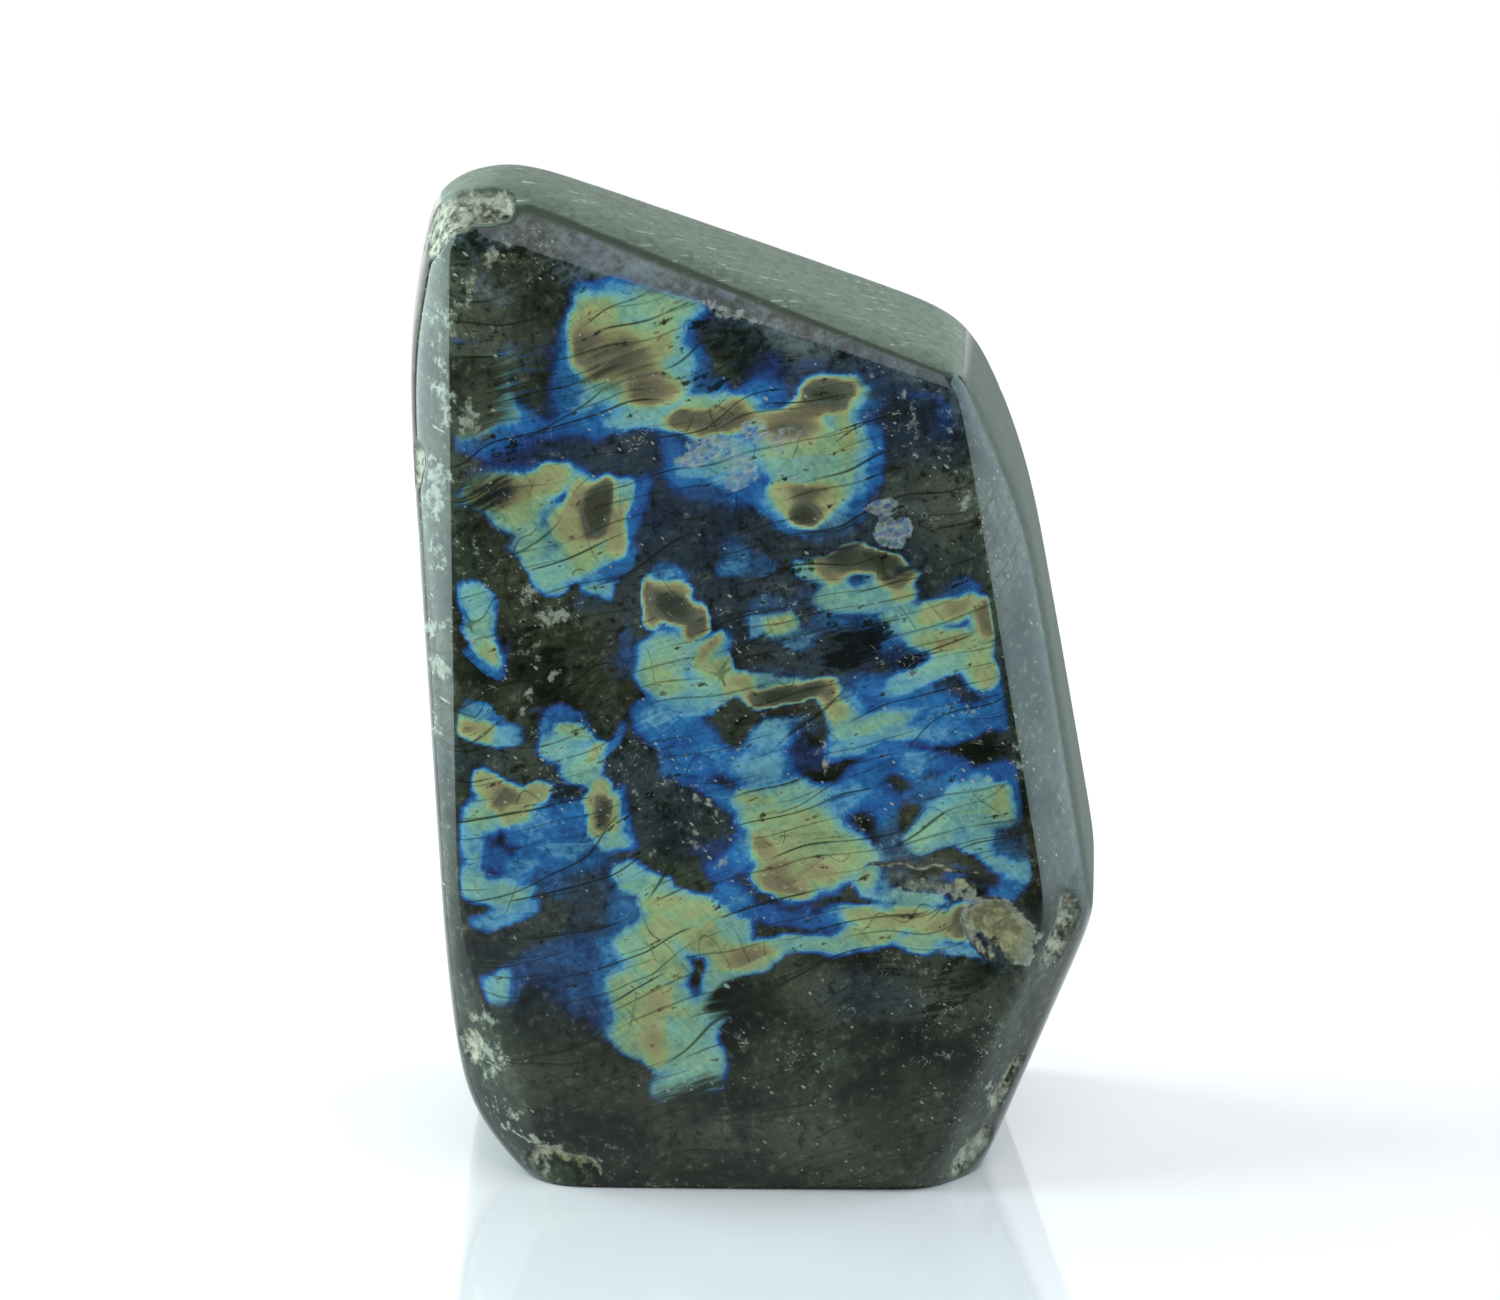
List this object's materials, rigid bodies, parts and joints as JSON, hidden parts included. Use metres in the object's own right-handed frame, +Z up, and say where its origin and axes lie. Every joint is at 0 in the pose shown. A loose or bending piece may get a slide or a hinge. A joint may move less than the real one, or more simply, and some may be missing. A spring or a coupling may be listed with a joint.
{
  "type": "polished labradorite freeform",
  "caption": "Polished standing labradorite stone with flat ground faces, rounded edges, small chips and a flat cut base; dark grey-green with blue, green and gold flash on its front",
  "frame": {"origin": "middle of the stone's bounding box in plan, on the surface it stands on", "axes": "+Z up, the large flash face looks along -Y, +X to its right as seen from the front"},
  "size_m": [0.0771, 0.05, 0.1113],
  "materials": {
    "labradorite": "polished, with a few unpolished chips"
  },
  "bodies": {
    "root": {"labradorite_stone": "labradorite"}
  },
  "joints": []
}
